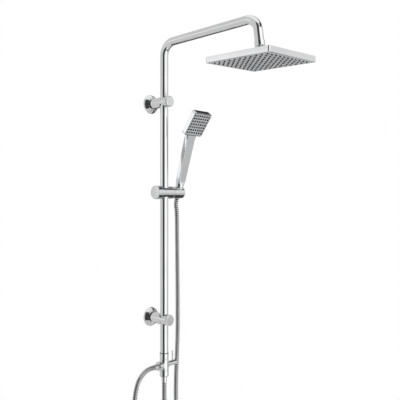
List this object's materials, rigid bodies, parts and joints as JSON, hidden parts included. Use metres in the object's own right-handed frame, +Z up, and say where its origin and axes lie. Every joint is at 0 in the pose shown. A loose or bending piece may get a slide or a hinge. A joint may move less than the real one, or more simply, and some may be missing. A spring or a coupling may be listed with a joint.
{
  "type": "shower column",
  "caption": "Wall-mounted rainfall shower column: chrome riser with a square overhead rose on an arm, a hand shower on a sliding holder, a diverter and two steel hoses.",
  "frame": {"origin": "centre of the lower wall plate's back face, on the wall", "axes": "+X to the right as seen from the room, -Y out of the wall, +Z up"},
  "size_m": [0.2257, 0.5221, 1.5073],
  "materials": {
    "chrome_metal": "polished",
    "chrome_on_abs": "polished",
    "zinc_steel": "satin",
    "brass": "satin",
    "hose_steel": "gloss",
    "satin_grey_abs": "satin",
    "black_silicone": "matte",
    "black_rubber": "matte",
    "white_acetal": "satin",
    "valve_ceramic": "satin"
  },
  "bodies": {
    "column": {"wall_plate_upper": "zinc_steel", "wall_plate_lower": "zinc_steel", "wall_flange_upper": "chrome_metal", "wall_flange_lower": "chrome_metal", "bracket_post_upper": "chrome_metal", "bracket_post_lower": "chrome_metal", "riser_set_screw_upper": "zinc_steel", "riser_set_screw_lower": "zinc_steel", "bracket_end_cap_upper": "chrome_metal", "bracket_end_cap_lower": "chrome_metal", "riser_pipe": "chrome_metal", "arm_union_nut": "chrome_metal", "ball_stem": "chrome_metal", "pipe_end_washer": "black_rubber", "diverter_body": "chrome_metal", "diverter_collar": "chrome_metal", "riser_seal_ring": "black_rubber", "diverter_cartridge": "brass", "hose_nut_diverter": "chrome_metal", "hose_sleeve_diverter": "chrome_metal", "handset_hose_loop": "hose_steel", "supply_hose_nut": "chrome_metal", "supply_hose_washer": "black_rubber", "supply_hose_sleeve": "chrome_metal", "supply_hose": "hose_steel", "supply_end_sleeve": "chrome_metal", "supply_end_nut": "chrome_metal", "supply_end_washer": "black_rubber"},
    "ball_ring": {"ball_slip_ring": "white_acetal", "ball_seal_ring": "black_rubber"},
    "rain_head": {"rain_head_shell": "chrome_on_abs", "ball_collar": "chrome_metal", "rain_face_plate": "satin_grey_abs", "rain_nozzle_mat": "black_silicone"},
    "slider": {"slider_body": "chrome_on_abs", "slider_bush": "white_acetal", "clamp_shoe": "brass", "holder_pivot_pin": "zinc_steel", "holder_friction_washer": "white_acetal"},
    "clamp_knob": {"clamp_knob": "chrome_on_abs", "clamp_screw": "zinc_steel"},
    "holder": {"handset_holder": "chrome_on_abs", "handset_hose_middle": "hose_steel"},
    "handset": {"handset_shell": "chrome_on_abs", "handset_face_plate": "satin_grey_abs", "handset_nozzle_mat": "black_silicone", "handset_connector": "brass", "handset_hose_nut": "chrome_metal", "handset_hose_sleeve": "zinc_steel", "handset_hose_washer": "black_rubber", "handset_hose_top": "hose_steel"},
    "diverter_handle": {"diverter_handle": "chrome_metal", "diverter_lever": "chrome_metal", "diverter_spindle": "valve_ceramic", "handle_set_screw": "zinc_steel"}
  },
  "joints": [
    {"name": "head_turn", "type": "hinge", "parent": "column", "child": "ball_ring", "pos_m": [0, -0.42272, 0.7303], "axis": [0, 0, 1], "continuous": true},
    {"name": "head_tilt", "type": "hinge", "parent": "ball_ring", "child": "rain_head", "pos_m": [0, -0.42272, 0.7303], "axis": [1, 0, 0], "range_deg": [-10, 10]},
    {"name": "slider_slide", "type": "slide", "parent": "column", "child": "slider", "axis": [0, 0, 1], "range_m": [-0.3, 0.19], "deforming": ["handset_hose_loop"]},
    {"name": "clamp_knob_turn", "type": "hinge", "parent": "slider", "child": "clamp_knob", "pos_m": [-0.018, -0.062, 0.3785], "axis": [-1, 0, 0], "range_deg": [0, 360]},
    {"name": "holder_tilt", "type": "hinge", "parent": "slider", "child": "holder", "pos_m": [0.029, -0.062, 0.3785], "axis": [1, 0, 0], "range_deg": [-25, 20], "deforming": ["handset_hose_middle"]},
    {"name": "handset_lift", "type": "slide", "parent": "holder", "child": "handset", "axis": [0, -0.2924, 0.9563], "range_m": [0, 0.045], "deforming": ["handset_hose_top"]},
    {"name": "diverter_turn", "type": "hinge", "parent": "column", "child": "diverter_handle", "pos_m": [0.0136, -0.062, -0.136], "axis": [1, 0, 0], "range_deg": [-90, 90]}
  ]
}
